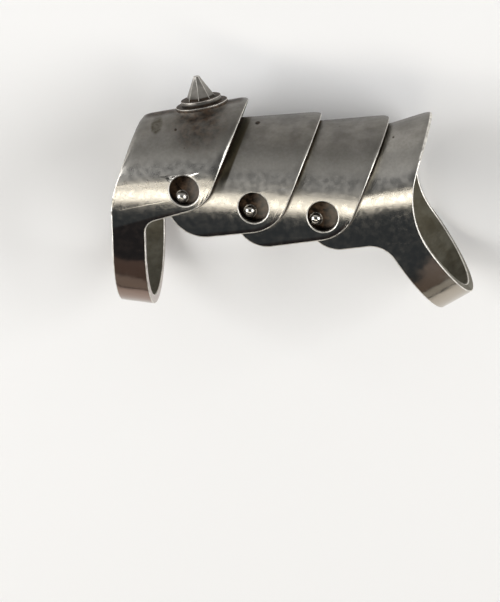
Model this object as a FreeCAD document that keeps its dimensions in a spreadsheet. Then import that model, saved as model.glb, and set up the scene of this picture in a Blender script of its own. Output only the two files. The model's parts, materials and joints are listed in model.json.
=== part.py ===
import FreeCAD, Part
import math
import os
import re
import Sketcher

# Knuckle armor ring: four saddle plates that pivot on ball pins at both flanks, with a
# finger band under the first and the last plate.  The ring lies on one flank: X runs along
# the finger, Y points to its back and Z stands up from the table.  Every plate is drawn
# about the ring's middle plane, which lies half the ring's width above the table.

SIZES = {
    "half_width": 11.3,
    # The middle of the whole ring's side view, which goes onto the origin.
    "middle_x": 5.58,
    "middle_y": -0.27,
    "wall": 1.0,
    "nest_gap": 0.35,
    "slant": 21.5,
    "top_line": 22.0,
    "arch_ratio": 0.95,
    "shoulder_ratio": 0.8,
    "hole_diameter": 4.6,
    "ball_diameter": 1.8,
    "ball_lift": 0.25,
    # Where the slanted right edge of each plate crosses level 0.
    "edge_1": -7.25,
    "edge_2": 4.9,
    "edge_3": 15.35,
    # Middles of the holes in the first three plates, seen from the flank.
    "hole_1_x": -10.35,
    "hole_1_y": 2.55,
    "hole_2_x": 0.0,
    "hole_2_y": 0.0,
    "hole_3_x": 10.33,
    "hole_3_y": -1.28,
    # Ball pins on the last three plates: each stands low and left in its hole.
    "ball_2_x": -10.8,
    "ball_2_y": 1.38,
    "ball_3_x": -0.63,
    "ball_3_y": -0.85,
    "ball_4_x": 9.28,
    "ball_4_y": -1.95,
    # Both end sections of each plate: where the section crosses level 0 and its crest.
    "left_1": -24.5,
    "left_1_crest": 11.03,
    "right_1_crest": 14.21,
    "left_2": -14.31,
    "left_2_crest": 10.37,
    "right_2_crest": 11.86,
    "left_3": -2.96,
    "left_3_crest": 9.73,
    "right_3_crest": 11.4,
    "left_4": 7.88,
    "left_4_crest": 7.1,
    "right_4": 30.0,
    "right_4_crest": 15.26,
    "right_4_width": 11.47,
    "leg_foot": -14.0,
    # Corners of the plates' side outlines before they are rounded.
    "left_1_x": -21.7,
    "left_1_y": 0.6,
    "low_1_x": -7.0,
    "low_1_y": 0.26,
    "curl_1_x": -16.5,
    "curl_1_y": -2.72,
    "heel_2_x": -16.78,
    "heel_2_y": -6.27,
    "low_2_x": 3.55,
    "low_2_y": -3.34,
    "heel_3_x": -6.04,
    "heel_3_y": -7.83,
    "low_3_x": 13.62,
    "low_3_y": -4.37,
    "heel_4_x": 4.71,
    "heel_4_y": -8.06,
    "curl_4_x": 19.45,
    "curl_4_y": -5.64,
    "notch_4_x": 22.44,
    "notch_4_y": -0.86,
    "rim_4_lean": 16.7,
    "rim_1_lean": 18.7,
    "low_round": 6.4,
    "heel_2_round": 5.9,
    "heel_3_round": 4.9,
    "heel_4_round": 5.0,
    "curl_1_round": 2.0,
    "curl_4_round": 4.2,
    "notch_4_round": 13.2,
    "left_1_round": 12.0,
    # Finger bands: the upper end of the right rim, how far the band leans, its size.
    "band_1_x": -16.5,
    "band_1_y": -7.25,
    "band_1_lean": 0.0,
    "band_4_x": 25.7,
    "band_4_y": -5.45,
    "band_4_lean": 35.4,
    "band_width": 5.2,
    "band_wall": 1.4,
    "band_spare": 1.6,
    "band_reach": 20.0,
    # The plain stud on the first plate.
    "stud_x": -8.5,
    "stud_y": 12.2,
    "stud_tilt": 9.8,
    "collar_diameter": 8.0,
    "collar_height": 1.3,
    "step_diameter": 6.2,
    "step_height": 0.8,
    "spike_diameter": 5.2,
    "spike_tip": 0.9,
    "spike_height": 3.4,
}
PLATES = (1, 2, 3, 4)

doc = FreeCAD.newDocument("KnuckleRing")
sheet = doc.addObject("Spreadsheet::Sheet", "Sizes")
for row, (name, size) in enumerate(SIZES.items(), start=1):
    sheet.set(f"A{row}", name)
    sheet.set(f"B{row}", str(size))
    sheet.setAlias(f"B{row}", name)
doc.recompute()


def linked(formula):
    """The formula with every size read from the sheet."""
    return re.sub(r"[a-z][a-z_0-9]*", lambda m: f"Sizes.{m[0]}" if m[0] in SIZES else m[0], formula)


def value(formula):
    """What a formula comes to now."""
    return float(sheet.evalExpression(linked(formula)))


def degrees(name):
    return f"({name} * 1deg)"


def origin_plane(body, role):
    return next(item for item in body.Origin.OriginFeatures if item.Role == role)


def sketch_on(body, name, role, base=("0", "0", "0"), turn="0"):
    """An empty sketch on an origin plane, moved by base and turned about its own upright axis."""
    sketch = body.newObject("Sketcher::SketchObject", name)
    sketch.AttachmentSupport = [(origin_plane(body, role), "")]
    sketch.MapMode = "FlatFace"
    sketch.AttachmentOffset = FreeCAD.Placement(
        FreeCAD.Vector(*(value(part) for part in base)),
        FreeCAD.Rotation(FreeCAD.Vector(0, 1, 0), value(turn)))
    for axis, part in zip("xyz", base):
        sketch.setExpression(f"AttachmentOffset.Base.{axis}", linked(part))
    if turn != "0":
        sketch.setExpression("AttachmentOffset.Rotation.Angle", linked(f"({turn}) * 1deg"))
    return sketch


def size(sketch, kind, *where_and_formula):
    """A dimension of the sketch, bound to a formula over the sheet."""
    *where, formula = where_and_formula
    index = sketch.addConstraint(Sketcher.Constraint(kind, *where, value(formula)))
    sketch.setExpression(f"Constraints[{index}]", linked(formula))


def place(sketch, element, end, x, y):
    """Fix one end of an element at a point measured from the sketch's origin."""
    size(sketch, "DistanceX", -1, 1, element, end, x)
    size(sketch, "DistanceY", -1, 1, element, end, y)


def line(sketch, start, end):
    return sketch.addGeometry(Part.LineSegment(FreeCAD.Vector(*start, 0), FreeCAD.Vector(*end, 0)))


def arc(sketch, middle, radius, first, last):
    circle = Part.Circle(FreeCAD.Vector(*middle, 0), FreeCAD.Vector(0, 0, 1), radius)
    return sketch.addGeometry(Part.ArcOfCircle(circle, first, last))


def tie(sketch, kind, *where):
    sketch.addConstraint(Sketcher.Constraint(kind, *where))


def arch_line(sketch, width, flat, crest, shoulder, foot):
    """One wall line of a saddle: leg, shoulder, crown, shoulder, leg.  Returns both legs."""
    half, level, top, bend, end = (value(text) for text in (width, flat, crest, shoulder, foot))
    inset = half - bend
    rise = top - level - bend
    drop = (inset ** 2 - rise ** 2) / (2 * rise)
    crown = rise + bend + drop
    angle = math.atan2(inset, drop)
    upper = line(sketch, (end, half), (level, half))
    near = arc(sketch, (level, inset), bend, angle, math.pi / 2)
    over = arc(sketch, (level - drop, 0), crown, -angle, angle)
    far = arc(sketch, (level, -inset), bend, -math.pi / 2, -angle)
    lower = line(sketch, (level, -half), (end, -half))
    tie(sketch, "Tangent", upper, 2, near, 2)
    tie(sketch, "Tangent", near, 1, over, 2)
    tie(sketch, "Tangent", over, 1, far, 2)
    tie(sketch, "Tangent", far, 1, lower, 1)
    tie(sketch, "Horizontal", upper)
    tie(sketch, "Horizontal", lower)
    tie(sketch, "Symmetric", upper, 2, lower, 1, -1)
    tie(sketch, "Equal", near, far)
    place(sketch, upper, 2, flat, width)
    size(sketch, "Radius", near, shoulder)
    size(sketch, "DistanceX", -1, 1, upper, 1, foot)
    size(sketch, "DistanceX", -1, 1, lower, 2, foot)
    summit = sketch.addGeometry(Part.Point(FreeCAD.Vector(top, 0, 0)), True)
    tie(sketch, "PointOnObject", summit, 1, over)
    tie(sketch, "PointOnObject", summit, 1, -1)
    size(sketch, "DistanceX", -1, 1, summit, 1, crest)
    return upper, lower


def arch_section(body, name, at, width, crest):
    """The closed section of a saddle plate in the slanted plane that crosses level 0 at x."""
    sketch = sketch_on(body, name, "YZ_Plane", ("0", "0", at), "-slant")
    top = f"{crest} / cos{degrees('slant')}"
    rise = f"arch_ratio * {width}"
    legs = []
    for depth in ("0", "wall"):
        legs.append(arch_line(sketch, f"{width} - {depth}", f"{top} - {rise}", f"{top} - {depth}",
                              f"shoulder_ratio * {rise} - {depth}", "leg_foot"))
    (outer_near, outer_far), (inner_near, inner_far) = legs
    half = value(width)
    foot = value("leg_foot")
    thick = value("wall")
    near = line(sketch, (foot, half), (foot, half - thick))
    far = line(sketch, (foot, thick - half), (foot, -half))
    tie(sketch, "Coincident", near, 1, outer_near, 1)
    tie(sketch, "Coincident", near, 2, inner_near, 1)
    tie(sketch, "Coincident", far, 1, inner_far, 2)
    tie(sketch, "Coincident", far, 2, outer_far, 2)
    return sketch


def loft(body, name, first, last):
    feature = body.newObject("PartDesign::AdditiveLoft", name)
    feature.Profile = first
    feature.Sections = [last]
    feature.Ruled = True
    return feature


def flare(plate):
    """How much half width a plate gains per millimetre along the finger."""
    if plate in (1, 2):
        return "(wall + nest_gap) / (edge_2 - edge_1)"
    if plate == 3:
        return "(wall + nest_gap) / (edge_3 - edge_2)"
    return "(right_4_width - half_width + wall + nest_gap) / (right_4 - edge_3)"


def flank(plate, x, y="0"):
    """Half width of a plate's flank at a point of its side view."""
    along = f"({x}) - ({y}) * tan{degrees('slant')}"
    if plate == 4:
        return f"(half_width - wall - nest_gap + {flare(4)} * ({along} - edge_3))"
    return f"(half_width + {flare(plate)} * ({along} - edge_{plate}))"


def rounded(sketch, corners):
    """A closed outline through corners (x, y, radius or None), rounded where a radius is given."""
    points = [(value(x), value(y)) for x, y, _ in corners]
    count = len(points)
    ends = []
    for index, (x, y) in enumerate(points):
        before = points[index - 1]
        after = points[(index + 1) % count]
        radius = corners[index][2]
        if radius is None:
            ends.append(((x, y), (x, y), None))
            continue
        back = FreeCAD.Vector(before[0] - x, before[1] - y, 0).normalize()
        ahead = FreeCAD.Vector(after[0] - x, after[1] - y, 0).normalize()
        reach = value(radius) / math.tan(back.getAngle(ahead) / 2)
        corner = FreeCAD.Vector(x, y, 0)
        start = corner + back * reach
        stop = corner + ahead * reach
        middle = corner + (back + ahead).normalize() * math.hypot(reach, value(radius))
        left_turn = back.cross(ahead).z < 0
        first, last = (start, stop) if left_turn else (stop, start)
        angles = [math.atan2(p.y - middle.y, p.x - middle.x) for p in (first, last)]
        if angles[1] < angles[0]:
            angles[1] += 2 * math.pi
        ends.append(((start.x, start.y), (stop.x, stop.y), (middle, angles, left_turn)))
    sides = [line(sketch, ends[index][1], ends[(index + 1) % count][0]) for index in range(count)]
    for index, (x, y, radius) in enumerate(corners):
        before = sides[index - 1]
        after = sides[index]
        if radius is None:
            tie(sketch, "Coincident", before, 2, after, 1)
            place(sketch, after, 1, x, y)
            continue
        middle, angles, left_turn = ends[index][2]
        bend = arc(sketch, (middle.x, middle.y), value(radius), *angles)
        tie(sketch, "Tangent", before, 2, bend, 1 if left_turn else 2)
        tie(sketch, "Tangent", after, 1, bend, 2 if left_turn else 1)
        size(sketch, "Radius", bend, radius)
        mark = sketch.addGeometry(Part.Point(FreeCAD.Vector(*points[index], 0)), True)
        place(sketch, mark, 1, x, y)
        tie(sketch, "PointOnObject", mark, 1, before)
        tie(sketch, "PointOnObject", mark, 1, after)


def cut_through(body, name, sketch):
    pocket = body.newObject("PartDesign::Pocket", name)
    pocket.Profile = sketch
    pocket.SideType = "Two sides"
    pocket.Type = "ThroughAll"
    pocket.Type2 = "ThroughAll"
    return pocket


def on_slant(x, y):
    """The point at the top line on the slanted edge through a corner."""
    return f"{x} + (top_line - {y}) * tan{degrees('slant')}", "top_line", None


def band_point(plate, across, along):
    """A point of the band's side view: across from its right rim, along towards its bottom."""
    lean = degrees(f"band_{plate}_lean")
    x = f"band_{plate}_x + ({across}) * cos{lean} + ({along}) * sin{lean}"
    y = f"band_{plate}_y + ({across}) * sin{lean} - ({along}) * cos{lean}"
    return x, y


def outline(plate):
    """Corners of a plate's side outline, round the plate and its band."""
    if plate in (2, 3):
        heel = (f"heel_{plate}_x", f"heel_{plate}_y")
        low = (f"low_{plate}_x", f"low_{plate}_y")
        return (heel + (f"heel_{plate}_round",), low + ("low_round",), on_slant(*low), on_slant(*heel))
    right_foot = band_point(plate, "0", "band_reach") + (None,)
    left_foot = band_point(plate, "-band_width", "band_reach") + (None,)
    rim = f"tan{degrees(f'rim_{plate}_lean')}"
    if plate == 1:
        return (left_foot, right_foot, ("curl_1_x", "curl_1_y", "curl_1_round"),
                ("low_1_x", "low_1_y", "low_round"), on_slant("low_1_x", "low_1_y"),
                (f"left_1_x + (top_line - left_1_y) * {rim}", "top_line", None),
                ("left_1_x", "left_1_y", "left_1_round"))
    return (("heel_4_x", "heel_4_y", "heel_4_round"), ("curl_4_x", "curl_4_y", "curl_4_round"),
            left_foot, right_foot, ("notch_4_x", "notch_4_y", "notch_4_round"),
            (f"notch_4_x + (top_line - notch_4_y) * {rim}", "top_line", None),
            on_slant("heel_4_x", "heel_4_y"))


def hoop_section(body, name, plate, across):
    """The band's section round the finger: it leaves the flanks without a bend, thicker below."""
    x, y = band_point(plate, across, "0")
    lean = degrees(f"band_{plate}_lean")
    spread = f"({flare(plate)} * (sin{lean} + cos{lean} * tan{degrees('slant')}))"
    sketch = sketch_on(body, name, "YZ_Plane", (y, "0", x), f"band_{plate}_lean")
    half = f"({flank(plate, x, y)})"
    depth = f"({half} * ({spread} + sqrt(1 + {spread} ^ 2)))"
    ends = []
    for width, drop in ((half, depth), (f"({half} - wall)", f"({depth} - band_wall)")):
        wide = value(width)
        deep = value(drop)
        radius = (wide ** 2 + deep ** 2) / (2 * deep)
        half_turn = math.pi - math.atan2(wide, deep - radius)
        bend = arc(sketch, (radius - deep, 0), radius, half_turn, 2 * math.pi - half_turn)
        place(sketch, bend, 1, "0", width)
        place(sketch, bend, 2, "0", f"-({width})")
        size(sketch, "Radius", bend, f"({width} ^ 2 + {drop} ^ 2) / (2 * {drop})")
        ends.append((bend, wide))
    (outer, wide), (inner, narrow) = ends
    near = line(sketch, (0, wide), (0, narrow))
    far = line(sketch, (0, -narrow), (0, -wide))
    tie(sketch, "Coincident", near, 1, outer, 1)
    tie(sketch, "Coincident", near, 2, inner, 1)
    tie(sketch, "Coincident", far, 1, inner, 2)
    tie(sketch, "Coincident", far, 2, outer, 2)
    return sketch


def add_band(body, plate):
    """Trim the flanks along the line where the band begins, then bend the hoop under them."""
    trim = sketch_on(body, f"flank_trim_{plate}", "XY_Plane")
    corners = [("-band_reach", "0"), ("band_reach", "0"),
               ("band_reach", "band_reach"), ("-band_reach", "band_reach")]
    rounded(trim, [band_point(plate, across, along) + (None,) for across, along in reversed(corners)])
    cut_through(body, f"flank_foot_{plate}", trim)
    left = hoop_section(body, f"hoop_left_{plate}", plate, "-band_width - band_spare")
    right = hoop_section(body, f"hoop_right_{plate}", plate, "band_spare")
    loft(body, f"hoop_{plate}", left, right)


def cut_outline(body, plate):
    """Cut away all that lies outside the plate's side outline."""
    sketch = sketch_on(body, f"outline_{plate}", "XY_Plane")
    frame = (("-3 * top_line", "-3 * top_line"), ("3 * top_line", "-3 * top_line"),
             ("3 * top_line", "3 * top_line"), ("-3 * top_line", "3 * top_line"))
    rounded(sketch, [corner + (None,) for corner in frame])
    rounded(sketch, outline(plate))
    cut_through(body, f"trimmed_{plate}", sketch)


def cut_holes(body, plate):
    """The round hole in both flanks, in which the next plate's ball pin moves."""
    sketch = sketch_on(body, f"hole_{plate}", "XY_Plane")
    middle = FreeCAD.Vector(value(f"hole_{plate}_x"), value(f"hole_{plate}_y"), 0)
    ring = sketch.addGeometry(Part.Circle(middle, FreeCAD.Vector(0, 0, 1), value("hole_diameter / 2")))
    place(sketch, ring, 3, f"hole_{plate}_x", f"hole_{plate}_y")
    size(sketch, "Diameter", ring, "hole_diameter")
    cut_through(body, f"holes_{plate}", sketch)


def add_balls(body, plate):
    """A ball pin soldered to the outside of both flanks."""
    height = f"({flank(plate, f'ball_{plate}_x', f'ball_{plate}_y')} + ball_lift)"
    for side, sign in (("near", ""), ("far", "-")):
        ball = body.newObject("PartDesign::AdditiveSphere", f"ball_{plate}_{side}")
        ball.setExpression("Radius", linked("ball_diameter / 2"))
        ball.setExpression("Placement.Base.x", linked(f"ball_{plate}_x"))
        ball.setExpression("Placement.Base.y", linked(f"ball_{plate}_y"))
        ball.setExpression("Placement.Base.z", linked(sign + height))


def octagon(body, name, diameter, height):
    """An eight-sided outline square to the stud's axis."""
    lift = f"collar_height + step_height + {height}"
    tilt = degrees("stud_tilt")
    base = (f"stud_x - ({lift}) * sin{tilt}", "0", f"-(stud_y + ({lift}) * cos{tilt})")
    sketch = sketch_on(body, name, "XZ_Plane", base, "stud_tilt")
    radius = value(f"{diameter} / 2")
    points = [(radius * math.cos(math.pi * step / 4), radius * math.sin(math.pi * step / 4))
              for step in range(8)]
    rim = [line(sketch, points[step], points[(step + 1) % 8]) for step in range(8)]
    for step in range(8):
        around = f"{diameter} / 2 * {{}}({45 * step}deg)"
        tie(sketch, "Coincident", rim[step - 1], 2, rim[step], 1)
        place(sketch, rim[step], 1, around.format("cos"), around.format("sin"))
    return sketch


def add_stud(body):
    """A low eight-sided spike on a stepped round collar, soldered to the crest."""
    tilt = degrees("stud_tilt")
    for name, diameter, below, height in (
            ("collar", "collar_diameter", "0", "collar_height"),
            ("step", "step_diameter", "collar_height / 2", "collar_height / 2 + step_height")):
        disc = body.newObject("PartDesign::AdditiveCylinder", name)
        disc.Placement = FreeCAD.Placement(
            FreeCAD.Vector(), FreeCAD.Rotation(FreeCAD.Vector(0, 0, 1), value("stud_tilt"))
            * FreeCAD.Rotation(FreeCAD.Vector(1, 0, 0), -90))
        disc.setExpression("Radius", linked(f"{diameter} / 2"))
        disc.setExpression("Height", linked(height))
        disc.setExpression("Placement.Base.x", linked(f"stud_x - ({below}) * sin{tilt}"))
        disc.setExpression("Placement.Base.y", linked(f"stud_y + ({below}) * cos{tilt}"))
    foot = octagon(body, "spike_foot", "spike_diameter", "-collar_height / 2")
    tip = octagon(body, "spike_tip_edge", "spike_tip", "spike_height")
    loft(body, "spike", foot, tip)


def make_plate(plate):
    """One plate with all that is cast or soldered to it."""
    body = doc.addObject("PartDesign::Body", f"lame_{plate}")
    body.Label = f"lame_{plate}"
    right = f"edge_{plate}" if plate < 4 else "right_4"
    sections = []
    for side, at in (("left", f"left_{plate}"), ("right", right)):
        sections.append(arch_section(body, f"{side}_section_{plate}", at, flank(plate, at),
                                     f"{side}_{plate}_crest"))
    loft(body, f"saddle_{plate}", *sections)
    if plate in (1, 4):
        add_band(body, plate)
    cut_outline(body, plate)
    if plate < 4:
        cut_holes(body, plate)
    if plate > 1:
        add_balls(body, plate)
    if plate == 1:
        add_stud(body)
    body.setExpression("Placement.Base.x", linked("-middle_x"))
    body.setExpression("Placement.Base.y", linked("-middle_y"))
    body.setExpression("Placement.Base.z", linked("half_width"))
    return body


bodies = [make_plate(plate) for plate in PLATES]
doc.recompute()

for item in doc.Objects:
    if "Invalid" in item.State or "Error" in item.State:
        raise RuntimeError(f"{item.Name} did not build: {item.State}")

os.makedirs("parts", exist_ok=True)
for body in bodies:
    shape = body.Shape
    if shape.isNull() or not shape.isValid() or len(shape.Solids) != 1:
        raise RuntimeError(f"{body.Label} is not one valid solid")
    shape.exportStep(f"parts/{body.Label}.step")
    box = shape.BoundBox
    print(body.Label, "volume", round(shape.Volume, 1), "box", [round(number, 2) for number in (
        box.XMin, box.XMax, box.YMin, box.YMax, box.ZMin, box.ZMax)])
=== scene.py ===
import json
import math

import bmesh
import bpy
from mathutils import Matrix, Vector


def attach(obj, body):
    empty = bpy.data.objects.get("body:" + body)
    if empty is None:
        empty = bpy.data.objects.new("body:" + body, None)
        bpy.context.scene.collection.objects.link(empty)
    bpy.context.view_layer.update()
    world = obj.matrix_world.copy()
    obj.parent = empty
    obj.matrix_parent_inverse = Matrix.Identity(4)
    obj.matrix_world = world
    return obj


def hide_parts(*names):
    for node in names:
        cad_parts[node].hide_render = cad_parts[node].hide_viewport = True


# Knuckle armor ring in worn silver, lying on its far flank.  X runs along the finger, Y to its
# back and Z up from the table.  The camera looks down on the near flank.  Patterns are laid
# out in millimetres on the ring's side view, with zero in the second plate's hole.

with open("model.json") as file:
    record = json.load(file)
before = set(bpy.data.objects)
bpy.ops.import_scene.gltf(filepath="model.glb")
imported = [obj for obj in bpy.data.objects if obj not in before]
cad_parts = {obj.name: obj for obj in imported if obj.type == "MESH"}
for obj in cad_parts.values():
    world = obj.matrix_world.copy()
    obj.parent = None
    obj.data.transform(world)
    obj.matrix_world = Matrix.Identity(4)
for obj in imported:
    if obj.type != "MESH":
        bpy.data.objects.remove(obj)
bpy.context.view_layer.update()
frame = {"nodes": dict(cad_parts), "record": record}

MM = 0.001
PLATES = (1, 2, 3, 4)
BAND_PLATES = (1, 4)
# The side view's zero in the ring's own millimetres.
ZERO = Vector((-5.58, 0.27, 11.3))
SLANT = math.radians(21.5)

# Where the camera stands, found by fitting the ring's outlines: angles in degrees, lengths in mm.
CAMERA_AZIMUTH = 6.26
CAMERA_ELEVATION = 18.69
CAMERA_ROLL = -1.27
CAMERA_DISTANCE = 328.04
CAMERA_SLIDE = (1.593, 17.303)
PIXELS_PER_MM = 6.5
PICTURE_WIDTH = 500
SENSOR_WIDTH = 36.0

# The light panels: middle, width and depth in metres, brightness and tint.
PANELS = {
    "key_strip": ((-0.05, -0.17, 0.42), 0.70, 0.07, 3.4, (1, 0.94, 0.82)),
    "back_card": ((0, 0.46, 0.24), 1.0, 0.46, 0.34, (1, 0.98, 0.94)),
    "front_card": ((0, -0.46, 0.24), 0.9, 0.16, 0.13, (1, 0.72, 0.55)),
    "low_card": ((0, -0.50, 0.09), 0.9, 0.13, 0.40, (1, 0.96, 0.88)),
    "left_panel": ((-0.50, 0.06, 0.27), 0.40, 0.40, 5.8, (1, 1, 1)),
    "right_panel": ((0.50, 0.06, 0.27), 0.40, 0.40, 5.8, (1, 1, 1)),
}
ROOM_LIGHT = (0.78, 0.89, 1, 1)
ROOM_STRENGTH = 0.04
FLOOR_HALF = 1.5
FLOOR_ROUGHNESS = 0.85

FLOOR_PAINT = (0.93, 0.925, 0.92, 1)
SILVER = (0.66, 0.635, 0.59, 1)
# The next colour is a dull haze and also painted shade on the crest.
HAZE_AND_SHADE = (0.145, 0.138, 0.128, 1)
# A darker warm beige, laid low on the bands as a painted reflection.
REFLECTED_BEIGE = (0.42, 0.37, 0.305, 1)
RUBBED_SILVER = (0.86, 0.83, 0.77, 1)
DULL_SILVER = (0.22, 0.21, 0.17, 1)
OLIVE = (0.11, 0.096, 0.066, 1)
# Tarnish and soot colours, also laid on as painted shade in the holes and beside edges.
TARNISH_AND_SHADE = (0.085, 0.055, 0.036, 1)
RUSSET = (0.16, 0.06, 0.04, 1)
SOOT_AND_SHADE = (0.012, 0.009, 0.007, 1)

# How far each kind of edge is worn round in millimetres, and in how many steps.
ROUND_AT = {"rim": 0.19, "edge": 0.16, "stud": 0.05}
ROUND_STEPS = 4
EDGE_ANGLE = math.radians(32)
# Corners closer than this are one, and faces flatter to each other than this are one.
MERGE_DISTANCE = 0.002
FLAT_ANGLE = math.radians(0.04)

# Middles of the holes, and of the ball pins that stand in them.
HOLES = {1: (-10.35, 2.55), 2: (0.0, 0.0), 3: (10.33, -1.28)}
BALLS = {2: (-10.8, 1.38), 3: (-0.63, -0.85), 4: (9.28, -1.95)}
HOLE_RADIUS = 2.3
BALL_RADIUS = 0.9
RIM_TOLERANCE = 0.05
# Height at which each plate's flank begins to bend to the crest, at two places along it.
BEND_LEVEL = {
    1: ((-23.4, 2.3), (-5.6, 3.6)),
    2: ((-13.4, 2.3), (5.6, 1.9)),
    3: ((-2.3, 1.8), (15.9, 1.4)),
    4: ((8.0, 1.1), (28.0, 4.5)),
}
# The flank is shaded as if slightly crowned: how deep, and over what height below the bend.
CROWN_DEPTH = 3.06
CROWN_HEIGHT = 16.0
# How rough the silver is on the flank, and on each plate above the bend.
FLANK_ROUGHNESS = 0.14
SHOULDER_ROUGHNESS = {1: 0.3, 2: 0.35, 3: 0.35, 4: 0.33}
# Where a finish begins and is full: the first three above the bend, the last two above zero.
DULLING = (-5.0, 1.5)
CREST_DULLING = (3.0, 8.0)
# Heights over which the crest darkens: partly a haze, partly painted shade.
CREST_HAZE_AND_SHADE = (1.0, 8.5)
STUD_SHINE = (14.3, 14.9)
# Heights over which the bands take that painted reflection.
BAND_REFLECTION_PAINT = (-8.0, -13.0)

# Ends of the plates' crests: plate, a point of the end's line, its lean and the side it faces.
CREST_ENDS = (
    (1, (-21.7, 0.6), 18.7, -1),
    (1, (-7.25, 0.0), 21.5, 1),
    (2, (4.9, 0.0), 21.5, 1),
    (3, (15.35, 0.0), 21.5, 1),
    (4, (22.44, -0.86), 16.7, 1),
)
# How far from its end a crest begins to droop, how deep, in how many steps, and how far past
# the line of its end it still does.
DROOP_LENGTH = 1.3
DROOP_DEPTH = 0.5
DROOP_STEPS = 6
DROOP_PAST_END = 0.4
# Heights at which the droop begins and is full.
DROOP_FROM = 4.0
DROOP_FULL = 8.0
CUT_TOLERANCE = 0.0005

# The lower right corner of each of the first three plates, and a point of its lower edge.
CORNERS = {1: (-7.0, 0.26), 2: (3.55, -3.34), 3: (13.62, -4.37)}
HEELS = {1: (-16.5, -2.72), 2: (-16.78, -6.27), 3: (-6.04, -7.83)}
CORNER_RADIUS = 6.4
# How far the straight parts of an outline are followed from its corner.
OUTLINE_REACH = 30.0
# Width of the shaded strip that each plate's slanted edge leaves on the next plate.
STRIP_WIDTH = {2: 1.45, 3: 0.5, 4: 0.45}

# The stud's foot on the first plate, its reach, half width and tilt, and its dark seams' heights.
STUD_FOOT = (-8.5, 12.2)
STUD_REACH = 6
STUD_HALF_WIDTH = 4.1
STUD_TILT = math.radians(9.8)
STUD_SEAMS = (0.95, 1.42, 2.2)
# The dirt round the stud's foot: radius, softness and the heights between which it fades.
FOOT_DIRT = (3.6, 2.2)
FOOT_DIRT_FADE = (14.2, 13.2)
# The stain on the first plate's crest: x, y, radius and softness.
STAIN = (-15.1, 11.0, 0.85, 0.25)
# Dark pits: x, y and z from the zero, and radius.
PITS = {
    1: ((-12.0, 10.8, 6.1, 0.24), (-10.34, 8.6, 8.6, 0.18), (-9.45, 9.05, 7.7, 0.2)),
    2: ((0.0, 11.1, 2.3, 0.42),),
    3: ((12.4, 10.8, 2.6, 0.3),),
    4: ((20.6, 9.4, 4.6, 0.16),),
}
PIT_EDGE = 0.1
PIT_DEPTH = 0.02
# How much less a pit's place counts in Z than along the side view.
PIT_SQUASH = 0.6
# Fine scratches on the near flank: both ends.
SCRATCHES = {
    1: ((-19.8, -0.6, -13.4, 0.9), (-16.2, 6.4, -13.0, 7.0)),
    2: ((-6.4, -4.2, -2.1, -3.7), (-4.4, 9.9, -0.7, 11.6)),
    3: ((9.7, 4.9, 13.2, 6.6), (3.9, -4.8, 9.0, -4.5)),
    4: ((21.6, -1.2, 23.9, -0.3), (19.9, -5.4, 25.7, -4.9), (17.6, 1.4, 20.1, 2.6),
        (22.4, -3.0, 24.6, -3.4)),
}
SCRATCH_WIDTH = 0.08
SCRATCH_DEPTH = 0.004


def add_camera():
    azimuth, elevation, roll = (math.radians(a) for a in (
        CAMERA_AZIMUTH, CAMERA_ELEVATION, CAMERA_ROLL))
    right = Vector((math.cos(azimuth), 0, -math.sin(azimuth)))
    back = Vector((math.sin(azimuth) * math.cos(elevation), math.sin(elevation),
                   math.cos(azimuth) * math.cos(elevation)))
    up = back.cross(right)
    turned_right = right * math.cos(roll) + up * math.sin(roll)
    turned_up = up * math.cos(roll) - right * math.sin(roll)
    slide = turned_right * CAMERA_SLIDE[0] + turned_up * CAMERA_SLIDE[1]
    place = ZERO - slide + back * CAMERA_DISTANCE
    camera = bpy.data.objects.new("camera", bpy.data.cameras.new("camera"))
    camera.data.sensor_width = SENSOR_WIDTH
    camera.data.sensor_fit = "HORIZONTAL"
    camera.data.lens = PIXELS_PER_MM * CAMERA_DISTANCE * SENSOR_WIDTH / PICTURE_WIDTH
    camera.data.clip_start = 0.01
    turn = Matrix((turned_right, turned_up, back)).transposed()
    camera.matrix_world = Matrix.Translation(place * MM) @ turn.to_4x4()
    bpy.context.scene.collection.objects.link(camera)
    bpy.context.scene.camera = camera


def add_panel(name, middle, width, depth, brightness, tint):
    """A soft light panel of an even brightness that faces the ring."""
    light = bpy.data.lights.new(name, "AREA")
    light.shape = "RECTANGLE"
    light.size = width
    light.size_y = depth
    light.energy = brightness * math.pi * width * depth
    light.color = tint
    panel = bpy.data.objects.new(name, light)
    panel.location = middle
    panel.rotation_euler = Vector(middle).to_track_quat("Z", "Y").to_euler()
    panel.visible_camera = False
    bpy.context.scene.collection.objects.link(panel)


def add_light():
    world = bpy.data.worlds.new("studio")
    world.use_nodes = True
    room = world.node_tree.nodes["Background"]
    room.inputs["Color"].default_value = ROOM_LIGHT
    room.inputs["Strength"].default_value = ROOM_STRENGTH
    bpy.context.scene.world = world
    for name, panel in PANELS.items():
        add_panel(name, *panel)


def add_floor():
    paint = bpy.data.materials.new("pale_floor")
    paint.use_nodes = True
    shader = paint.node_tree.nodes["Principled BSDF"]
    shader.inputs["Base Color"].default_value = FLOOR_PAINT
    shader.inputs["Roughness"].default_value = FLOOR_ROUGHNESS
    half = FLOOR_HALF
    mesh = bpy.data.meshes.new("floor")
    mesh.from_pydata([(-half, -half, 0), (half, -half, 0), (half, half, 0), (-half, half, 0)],
                     [], [(0, 1, 2, 3)])
    mesh.materials.append(paint)
    floor = bpy.data.objects.new("floor", mesh)
    bpy.context.scene.collection.objects.link(floor)


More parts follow.
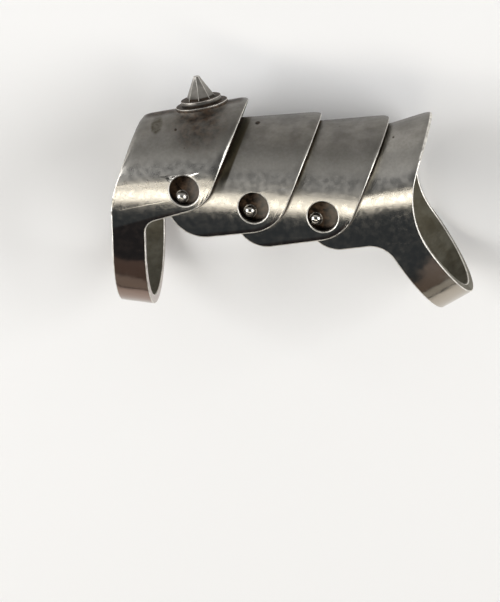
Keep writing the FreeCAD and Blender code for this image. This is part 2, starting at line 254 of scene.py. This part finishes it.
class Finish:
    """A material whose pattern is worked out in millimetres on the ring's side view."""

    def __init__(self, name):
        self.material = bpy.data.materials.new(name)
        self.material.use_nodes = True
        self.tree = self.material.node_tree
        self.shader = self.tree.nodes["Principled BSDF"]
        place = self.tree.nodes.new("ShaderNodeTexCoord").outputs["Object"]
        self.place = self.vector("MULTIPLY_ADD", place, (1 / MM,) * 3, tuple(-ZERO))
        self.flat = self.vector("MULTIPLY", self.place, (1, 1, 0))
        split = self.tree.nodes.new("ShaderNodeSeparateXYZ")
        self.tree.links.new(self.place, split.inputs[0])
        self.x, self.y, self.z = split.outputs

    def feed(self, socket, source):
        if hasattr(source, "is_output"):
            self.tree.links.new(source, socket)
        else:
            socket.default_value = source

    def node(self, kind, sources, result=0, **settings):
        node = self.tree.nodes.new(kind)
        for key, setting in settings.items():
            setattr(node, key, setting)
        for socket, source in sources.items():
            self.feed(node.inputs[socket], source)
        return node.outputs[result]

    def vector(self, operation, *sources):
        result = "Value" if operation in ("DISTANCE", "DOT_PRODUCT") else "Vector"
        return self.node("ShaderNodeVectorMath", dict(enumerate(sources)), result, operation=operation)

    def math(self, operation, *sources):
        return self.node("ShaderNodeMath", dict(enumerate(sources)), operation=operation)

    def times(self, *sources):
        product = sources[0]
        for source in sources[1:]:
            product = self.math("MULTIPLY", product, source)
        return product

    def most(self, *masks):
        """The strongest of several masks."""
        strongest = masks[0]
        for mask in masks[1:]:
            strongest = self.math("MAXIMUM", strongest, mask)
        return strongest

    def fade(self, source, start, stop, low=0.0, high=1.0):
        """From low to high while the source goes from start to stop, without a sharp end."""
        return self.node("ShaderNodeMapRange", {"Value": source, "From Min": start, "From Max": stop,
                                                "To Min": low, "To Max": high},
                         interpolation_type="SMOOTHSTEP")

    def blend(self, share, first, last):
        """A colour between two others."""
        node = self.tree.nodes.new("ShaderNodeMix")
        node.data_type = "RGBA"
        self.feed(node.inputs["Factor"], share)
        colours = [socket for socket in node.inputs if socket.type == "RGBA"]
        for socket, source in zip(colours, (first, last)):
            self.feed(socket, source)
        return next(socket for socket in node.outputs if socket.type == "RGBA")

    def clouds(self, size, low, high, detail=3.0, stretch=(1, 1, 1), turn=0.0):
        """Soft random patches of a size in millimetres, between low and high."""
        place = self.node("ShaderNodeMapping", {"Vector": self.place, "Rotation": (0, 0, turn),
                                                "Scale": tuple(way / size for way in stretch)},
                          vector_type="POINT")
        noise = self.node("ShaderNodeTexNoise", {"Vector": place, "Scale": 1.0, "Detail": detail,
                                                 "Roughness": 0.55})
        return self.fade(noise, 0.32, 0.68, low, high)

    def disc(self, x, y, radius, soft):
        """1 inside a round patch of the side view, 0 outside."""
        away = self.vector("DISTANCE", self.flat, (x, y, 0))
        return self.fade(away, radius + soft, max(radius - soft, 0))

    def pit(self, x, y, z, radius):
        """1 inside a small pit of the surface, 0 outside."""
        squashed = self.vector("MULTIPLY", self.place, (1, 1, PIT_SQUASH))
        away = self.vector("DISTANCE", squashed, (x, y, z * PIT_SQUASH))
        return self.fade(away, radius + PIT_EDGE, max(radius - PIT_EDGE, 0))

    def away_from(self, ends):
        """Distance to a straight stroke of the side view."""
        x1, y1, x2, y2 = ends
        start = Vector((x1, y1, 0))
        way = Vector((x2, y2, 0)) - start
        from_start = self.vector("SUBTRACT", self.flat, tuple(start))
        share = self.math("DIVIDE", self.vector("DOT_PRODUCT", from_start, tuple(way)), way.length_squared)
        share = self.node("ShaderNodeClamp", {"Value": share, "Min": 0.0, "Max": 1.0})
        nearest = self.node("ShaderNodeVectorMath", {0: tuple(way), "Scale": share}, "Vector",
                            operation="SCALE")
        return self.vector("DISTANCE", from_start, nearest)

    def emboss(self, height):
        """Shade the surface as if it stood out by a height in millimetres."""
        bump = self.node("ShaderNodeBump", {"Height": self.times(height, MM), "Distance": 1.0,
                                            "Strength": 1.0}, "Normal")
        self.feed(self.shader.inputs["Normal"], bump)


def above_bend(finish, plate):
    """Height above the line where a plate's flank begins to bend to its crest."""
    (left, left_level), (right, right_level) = BEND_LEVEL[plate]
    climb = (right_level - left_level) / (right - left)
    level = finish.math("SUBTRACT", finish.y, left_level - climb * left)
    return finish.math("SUBTRACT", level, finish.times(finish.x, climb))


def past_outline(finish, plate):
    """Distance outside a plate's slanted and lower edges, round the corner between them."""
    corner = Vector(CORNERS[plate])
    low = (Vector(HEELS[plate]) - corner).normalized()
    high = Vector((math.sin(SLANT), math.cos(SLANT)))
    bisector = (low + high).normalized()
    middle = corner + bisector * CORNER_RADIUS / math.sin(bisector.angle(high))
    rays = [finish.away_from((*middle, *(middle + way * OUTLINE_REACH))) for way in (low, high)]
    return finish.math("SUBTRACT", finish.math("MINIMUM", *rays), CORNER_RADIUS)


def silver_colour(finish, plate, level):
    """Bright on the flank; on the crest a darker haze that is partly painted shade, and smears; low on the
    bands a darker warm beige that is a painted reflection.
    """
    # The crest's darker colour is partly a dull haze and partly painted shade for its dim reflection.
    crest = finish.fade(level, *CREST_HAZE_AND_SHADE)
    if plate == 1:
        crest = finish.times(crest, finish.fade(finish.y, *STUD_SHINE, 1.0, 0.7))
    haze_and_shade = finish.times(crest, finish.clouds(3.5, 0.85, 1.0))
    colour = finish.blend(haze_and_shade, SILVER, HAZE_AND_SHADE)
    grain = finish.times(finish.clouds(0.45, 0.0, 0.16, detail=4.0), finish.fade(level, -3.0, 3.0, 0.15))
    colour = finish.blend(grain, colour, OLIVE)
    smear = finish.times(finish.clouds(4.0, 0.0, 0.22, stretch=(0.4, 1, 1), turn=0.25), crest)
    colour = finish.blend(smear, colour, OLIVE)
    # Painted reflection: the bands turn a darker warm beige towards their bottoms.
    if plate in BAND_PLATES:
        colour = finish.blend(finish.fade(finish.y, *BAND_REFLECTION_PAINT, 0.0, 0.9), colour, REFLECTED_BEIGE)
    return colour


def beside_edge(finish, plate, level):
    """The strip beside the slanted edge of the plate before, painted shade and reflection of that plate
    with some tarnish, and a darker line of painted shadow and tarnish right next to it.
    """
    beyond = past_outline(finish, plate - 1)
    width = STRIP_WIDTH[plate]
    beside = finish.fade(beyond, -1.5, -0.9)
    strip = finish.times(beside, finish.fade(beyond, width + 0.15, width - 0.15),
                         finish.fade(level, -0.5, 3.0))
    dirt_and_shade = finish.times(beside, finish.fade(beyond, 0.55, 0.1, 0.0, 0.9))
    return strip, dirt_and_shade


def lower_seam(finish, plate, level):
    """The narrow strip along a plate's own lower edge."""
    beyond = past_outline(finish, plate)
    return finish.times(finish.fade(beyond, -0.85, -0.45), finish.fade(level, -3.0, -4.5, 0.0, 0.6))


def under_hole(finish, plate):
    """Painted shade with some tarnish on what the hole of the plate before shows of this plate, but for
    the ball pin, less dark towards the right.
    """
    hole_x, hole_y = HOLES[plate - 1]
    ball = finish.disc(*BALLS[plate], BALL_RADIUS + 0.05, 0.1)
    hole = finish.times(finish.disc(hole_x, hole_y, HOLE_RADIUS + 0.3, 0.3),
                        finish.math("SUBTRACT", 1.0, ball))
    lit = finish.fade(finish.x, hole_x - 0.4, hole_x + 1.8, 1.0, 0.82)
    return finish.times(hole, lit)


def stud_dirt(finish):
    """Dirt round the stud's foot and in its seams."""
    foot = finish.times(finish.disc(*STUD_FOOT, *FOOT_DIRT), finish.fade(finish.y, *FOOT_DIRT_FADE),
                        finish.clouds(2.2, 0.5, 0.9))
    axis = (-math.sin(STUD_TILT), math.cos(STUD_TILT), 0)
    from_foot = finish.vector("SUBTRACT", finish.place, (*STUD_FOOT, 0))
    along = finish.vector("DOT_PRODUCT", from_foot, axis)
    gaps = [finish.math("ABSOLUTE", finish.math("SUBTRACT", along, seam)) for seam in STUD_SEAMS]
    return [foot] + [finish.fade(gap, 0.3, 0.08, 0.0, 0.9) for gap in gaps]


def worn_roughness(finish, plate, level, tarnish_and_shade):
    """Polished on the flank, duller on the crest and under the dirt and painted shade."""
    rough = finish.fade(level, *DULLING, FLANK_ROUGHNESS, SHOULDER_ROUGHNESS[plate])
    rough = finish.math("ADD", rough, finish.fade(level, *CREST_DULLING, 0.0, 0.1))
    rough = finish.math("ADD", rough, finish.clouds(0.9, -0.03, 0.04))
    return finish.math("ADD", rough, finish.times(tarnish_and_shade, 0.25))


def worn_relief(finish, plate, level, near, pits):
    """The flank's crown, faint ripples and a fine tooth, with the scratches and the pits."""
    below = finish.node("ShaderNodeClamp", {"Value": finish.times(level, -1 / CROWN_HEIGHT)})
    crown = finish.math("COSINE", finish.times(below, math.pi))
    crown = finish.times(finish.math("SUBTRACT", crown, 1.0), CROWN_DEPTH / 2)
    ripple = finish.clouds(3.2, -0.0006, 0.0006, detail=1.0)
    tooth = finish.clouds(0.25, -0.00012, 0.00012, detail=2.0)
    height = finish.math("ADD", finish.math("ADD", crown, ripple), tooth)
    for ends in SCRATCHES[plate]:
        cut = finish.fade(finish.away_from(ends), SCRATCH_WIDTH, 0.0)
        height = finish.math("ADD", height, finish.times(cut, near, -SCRATCH_DEPTH))
    for pit in pits:
        height = finish.math("ADD", height, finish.times(pit, -PIT_DEPTH))
    return height


def worn_silver(plate):
    """Polished on the flank, cloudy on the crest, dark with painted shade and tarnish in the holes and
    beside the edges.
    """
    finish = Finish(f"worn_silver_{plate}")
    near = finish.math("GREATER_THAN", finish.z, 0.0)
    level = above_bend(finish, plate)
    pits = [finish.pit(*pit) for pit in PITS[plate]]
    dirt_and_shade = [finish.times(pit, 0.9) for pit in pits]
    colour = silver_colour(finish, plate, level)
    if plate in STRIP_WIDTH:
        # Beside the plate before: painted shade and reflection, with some tarnish.
        strip, line = beside_edge(finish, plate, level)
        colour = finish.blend(strip, colour, OLIVE)
        dirt_and_shade.append(line)
    if plate in CORNERS:
        colour = finish.blend(lower_seam(finish, plate, level), colour, RUSSET)
    # Inside the holes: painted shade with some tarnish, on the hole's walls and on what shows of the next
    # plate.
    if plate in HOLES:
        dirt_and_shade.append(finish.disc(*HOLES[plate], HOLE_RADIUS + 0.02, 0.06))
    if plate in BALLS:
        dirt_and_shade.append(under_hole(finish, plate))
    if plate == 1:
        dirt_and_shade.extend(stud_dirt(finish))
        stain = finish.times(finish.disc(*STAIN), finish.clouds(0.8, 0.45, 1.0), near)
        colour = finish.blend(stain, colour, finish.blend(0.5, OLIVE, SOOT_AND_SHADE))
    # Pits, dirt and tarnish, with the painted shade in the holes and beside edges, take the dark blend.
    tarnish_and_shade = finish.most(*dirt_and_shade)
    colour = finish.blend(tarnish_and_shade, colour, finish.blend(finish.clouds(0.8, 0.0, 1.0), TARNISH_AND_SHADE, SOOT_AND_SHADE))
    finish.feed(finish.shader.inputs["Base Color"], colour)
    finish.feed(finish.shader.inputs["Roughness"], worn_roughness(finish, plate, level, tarnish_and_shade))
    finish.shader.inputs["Metallic"].default_value = 1.0
    finish.emboss(worn_relief(finish, plate, level, near, pits))
    return finish.material


def rubbed_edge():
    """The edges, kept bright by rubbing."""
    finish = Finish("rubbed_edge")
    colour = finish.blend(finish.clouds(1.1, 0.0, 0.4), RUBBED_SILVER, HAZE_AND_SHADE)
    finish.feed(finish.shader.inputs["Base Color"], colour)
    finish.feed(finish.shader.inputs["Roughness"], finish.clouds(0.7, 0.42, 0.58))
    finish.shader.inputs["Metallic"].default_value = 1.0
    return finish.material


def dull_inside():
    """The side next to the finger: dull, olive grey and darker in patches."""
    finish = Finish("dull_inside")
    colour = finish.blend(finish.clouds(2.8, 0.1, 0.75), DULL_SILVER, OLIVE)
    finish.feed(finish.shader.inputs["Base Color"], colour)
    finish.feed(finish.shader.inputs["Roughness"], finish.clouds(0.8, 0.5, 0.62))
    finish.shader.inputs["Metallic"].default_value = 1.0
    finish.emboss(finish.clouds(0.5, -0.002, 0.002))
    return finish.material


def outwards(face):
    """How far a face of a plate looks away from the finger: 1 fully, -1 towards it."""
    out = face.calc_center_median() / MM - ZERO
    out.x = 0
    return face.normal.dot(out.normalized())


def faces_finger(face):
    return outwards(face) < -0.35


def looks_out(face):
    return outwards(face) > 0.5


def kind_of_edge(edge, plate):
    """Whether an edge is a hole's outer rim, on the stud, another sharp edge or none of them."""
    if edge.calc_face_angle_signed(0) < EDGE_ANGLE:
        return None
    places = [corner.co / MM - ZERO for corner in edge.verts]
    if plate in HOLES and not any(faces_finger(face) for face in edge.link_faces):
        middle = Vector(HOLES[plate])
        if all(abs((place.xy - middle).length - HOLE_RADIUS) < RIM_TOLERANCE for place in places):
            return "rim"
    foot = Vector(STUD_FOOT)
    if plate == 1 and all((place.xy - foot).length < STUD_REACH and abs(place.z) < STUD_HALF_WIDTH
                          for place in places):
        return "stud"
    return "edge"


def droop_end(work, plate_end):
    """Bend the outer face of a crest down towards its end, as wear has done."""
    point, lean, side = plate_end
    lean = math.radians(lean)
    across = Vector((math.cos(lean), -math.sin(lean), 0)) * side
    start = Vector((*point, 0))
    for step in range(DROOP_STEPS):
        inwards = DROOP_LENGTH * (step + 1) / DROOP_STEPS
        bmesh.ops.bisect_plane(work, geom=work.verts[:] + work.edges[:] + work.faces[:],
                               dist=CUT_TOLERANCE * MM,
                               plane_co=(start + ZERO - across * inwards) * MM, plane_no=across)
    work.normal_update()
    for corner in work.verts:
        place = corner.co / MM - ZERO
        inwards = (start - place).dot(across)
        height = min(max((place.y - DROOP_FROM) / (DROOP_FULL - DROOP_FROM), 0), 1)
        outer = any(looks_out(face) for face in corner.link_faces)
        if -DROOP_PAST_END < inwards < DROOP_LENGTH and height > 0 and outer:
            bend = 1 - min(max(inwards / DROOP_LENGTH, 0), 1)
            depth = DROOP_DEPTH * height * (1 - math.sqrt(1 - bend ** 2))
            out = Vector((0, place.y, place.z)).normalized()
            corner.co -= out * depth * MM


def worn_shape(plate):
    """The plate's own shape with merged faces, drooping crest ends and its edges' wear noted."""
    work = bmesh.new()
    work.from_mesh(frame["nodes"][f"lame_{plate}"].data)
    bmesh.ops.remove_doubles(work, verts=work.verts, dist=MERGE_DISTANCE * MM)
    bmesh.ops.dissolve_limit(work, angle_limit=FLAT_ANGLE, use_dissolve_boundaries=False,
                             verts=work.verts, edges=work.edges)
    for owner, *plate_end in CREST_ENDS:
        if owner == plate:
            droop_end(work, plate_end)
    work.normal_update()
    for face in work.faces:
        face.smooth = True
        face.material_index = 2 if faces_finger(face) else 0
    broadest = max(ROUND_AT.values())
    weights = work.edges.layers.float.new("bevel_weight_edge")
    for edge in work.edges:
        edge[weights] = ROUND_AT.get(kind_of_edge(edge, plate), 0.0) / broadest
    return work


def dressed_plate(plate, finishes):
    """A plate with its sharp edges worn round, in the place of the plain one."""
    name = f"lame_{plate}_worn"
    work = worn_shape(plate)
    mesh = bpy.data.meshes.new(name)
    for finish in finishes:
        mesh.materials.append(finish)
    work.to_mesh(mesh)
    work.free()
    piece = bpy.data.objects.new(name, mesh)
    bpy.context.scene.collection.objects.link(piece)
    bevel = piece.modifiers.new("worn_edges", "BEVEL")
    bevel.width = max(ROUND_AT.values()) * MM
    bevel.segments = ROUND_STEPS
    bevel.limit_method = "WEIGHT"
    bevel.material = 1
    bevel.use_clamp_overlap = False
    bevel.harden_normals = False
    weigh = piece.modifiers.new("even_shading", "WEIGHTED_NORMAL")
    weigh.keep_sharp = False
    weigh.mode = "FACE_AREA_WITH_ANGLE"
    return piece


add_camera()
add_light()
add_floor()
bpy.context.scene.view_settings.view_transform = "Standard"
edge_finish = rubbed_edge()
inside_finish = dull_inside()
body_of = {node: body for body, nodes in frame["record"]["behaviour"]["bodies"].items() for node in nodes}
for plate in PLATES:
    node = f"lame_{plate}"
    piece = dressed_plate(plate, (worn_silver(plate), edge_finish, inside_finish))
    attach(piece, body_of[node])
    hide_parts(node)
